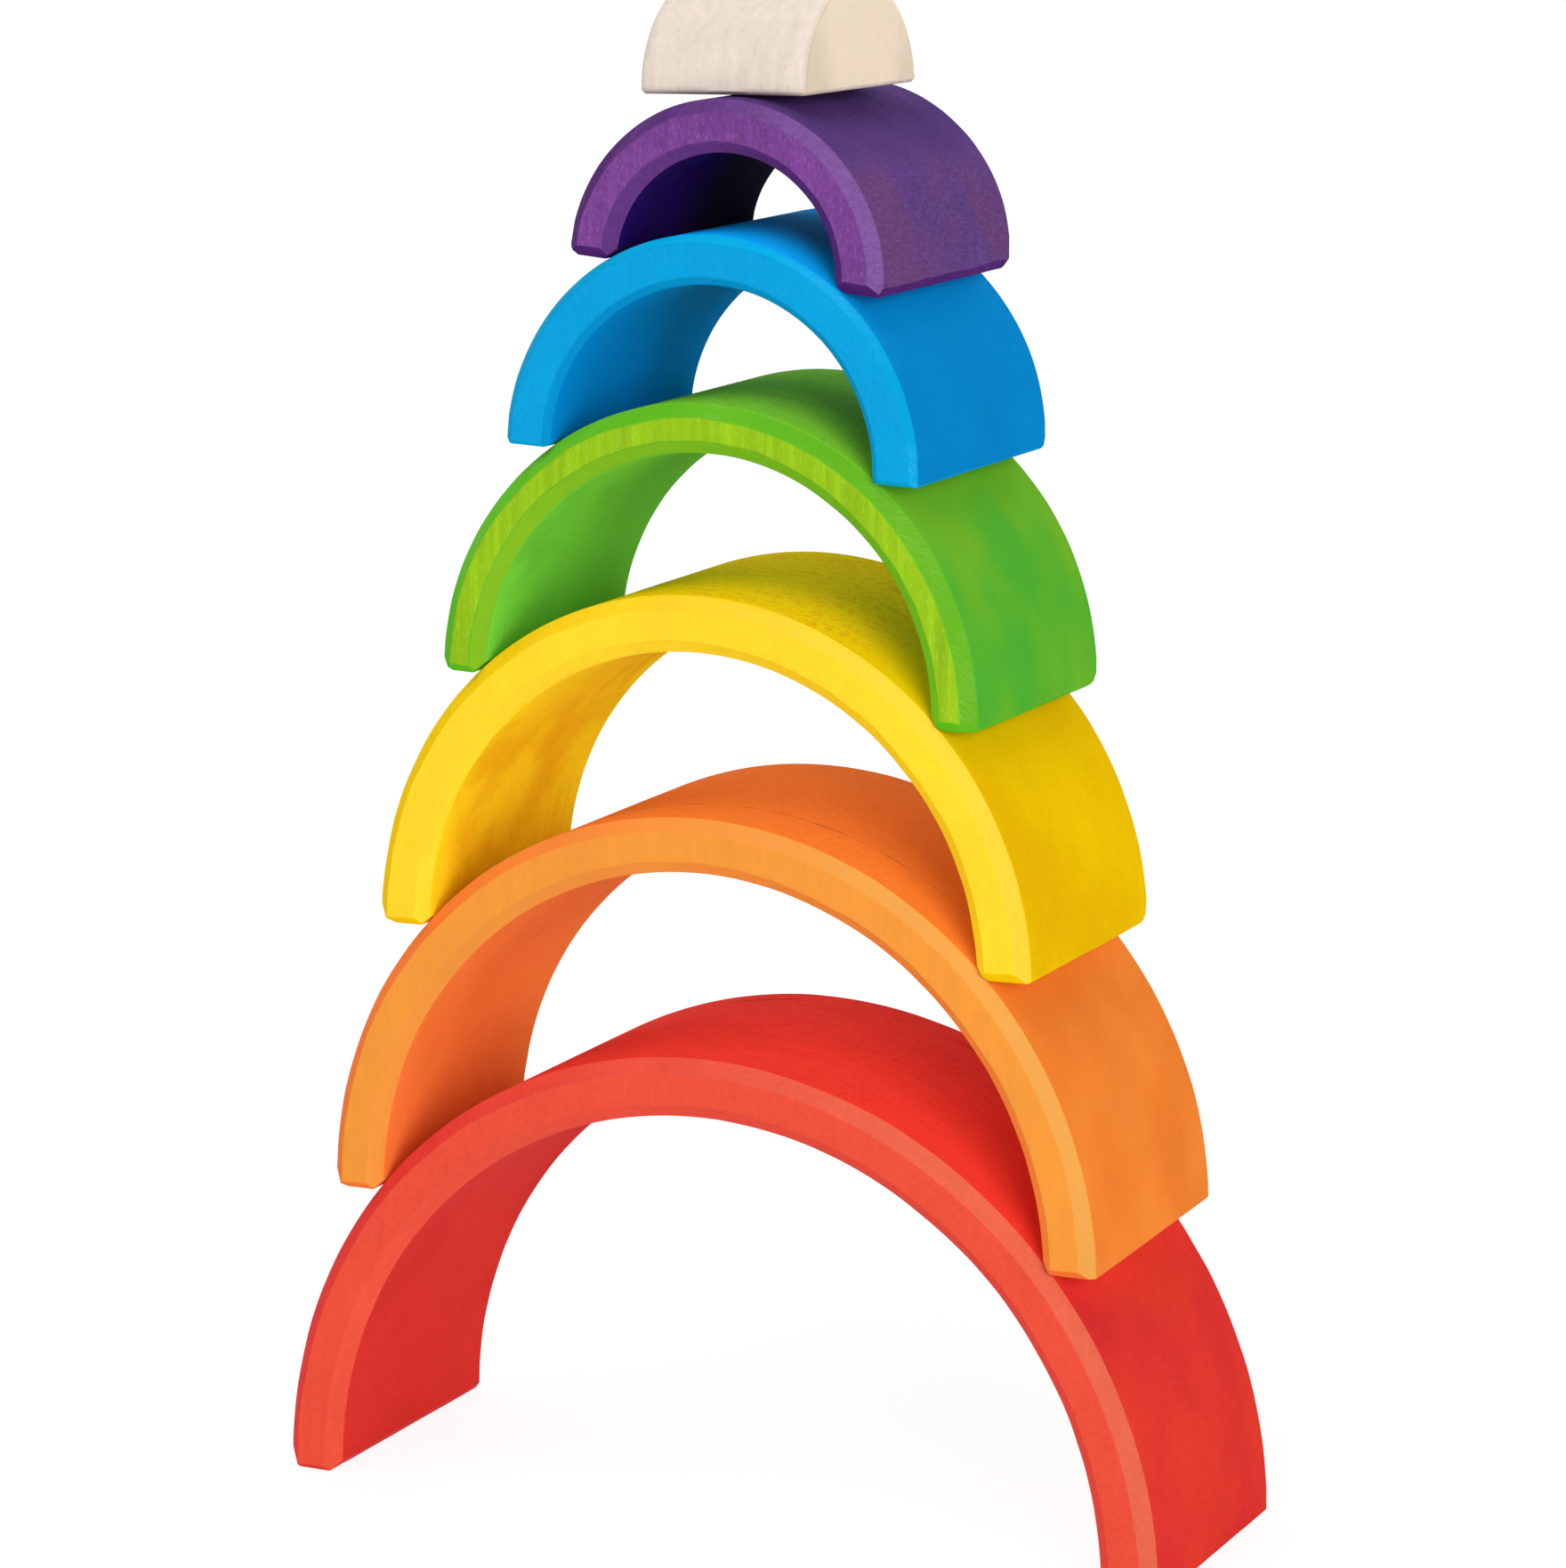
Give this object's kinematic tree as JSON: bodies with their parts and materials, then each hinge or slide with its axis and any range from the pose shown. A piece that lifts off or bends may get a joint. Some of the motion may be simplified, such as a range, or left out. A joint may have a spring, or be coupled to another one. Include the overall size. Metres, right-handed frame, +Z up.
{
  "type": "rainbow stacker",
  "caption": "Wooden stacking toy of half-round arches in rainbow colours that nest inside each other, here balanced crown on crown as a tower with a half-round block on top.",
  "frame": {"origin": "on the floor under the middle of the red arch, which is the bottom centre of the box", "axes": "+Z up the tower, +X across the arches to the right seen from the front, +Y to the back"},
  "size_m": [0.175, 0.0576, 0.2771],
  "materials": {
    "red_stain": "matte translucent stain over sanded limewood",
    "orange_stain": "matte translucent stain over sanded limewood",
    "yellow_stain": "matte translucent stain over sanded limewood",
    "green_stain": "matte translucent stain over sanded limewood",
    "blue_stain": "matte translucent stain over sanded limewood",
    "purple_stain": "matte translucent stain over sanded limewood",
    "bare_wood": "bare sanded limewood"
  },
  "bodies": {
    "red_arch": {"red_arch": "red_stain"},
    "orange_arch": {"orange_arch": "orange_stain"},
    "yellow_arch": {"yellow_arch": "yellow_stain"},
    "green_arch": {"green_arch": "green_stain"},
    "blue_arch": {"blue_arch": "blue_stain"},
    "purple_arch": {"purple_arch": "purple_stain"},
    "half_round_block": {"half_round_block": "bare_wood"}
  },
  "joints": [
    {"name": "lift_orange", "type": "slide", "parent": "red_arch", "child": "orange_arch", "axis": [0, 0, 1], "range_m": [0, 0.044]},
    {"name": "lift_yellow", "type": "slide", "parent": "orange_arch", "child": "yellow_arch", "axis": [0, 0, 1], "range_m": [0, 0.036]},
    {"name": "lift_green", "type": "slide", "parent": "yellow_arch", "child": "green_arch", "axis": [0, 0, 1], "range_m": [0, 0.031]},
    {"name": "lift_blue", "type": "slide", "parent": "green_arch", "child": "blue_arch", "axis": [0, 0, 1], "range_m": [0, 0.023]},
    {"name": "lift_purple", "type": "slide", "parent": "blue_arch", "child": "purple_arch", "axis": [0, 0, 1], "range_m": [0, 0.02]},
    {"name": "lift_block", "type": "slide", "parent": "purple_arch", "child": "half_round_block", "axis": [0, 0, 1], "range_m": [0, 0.02]}
  ]
}
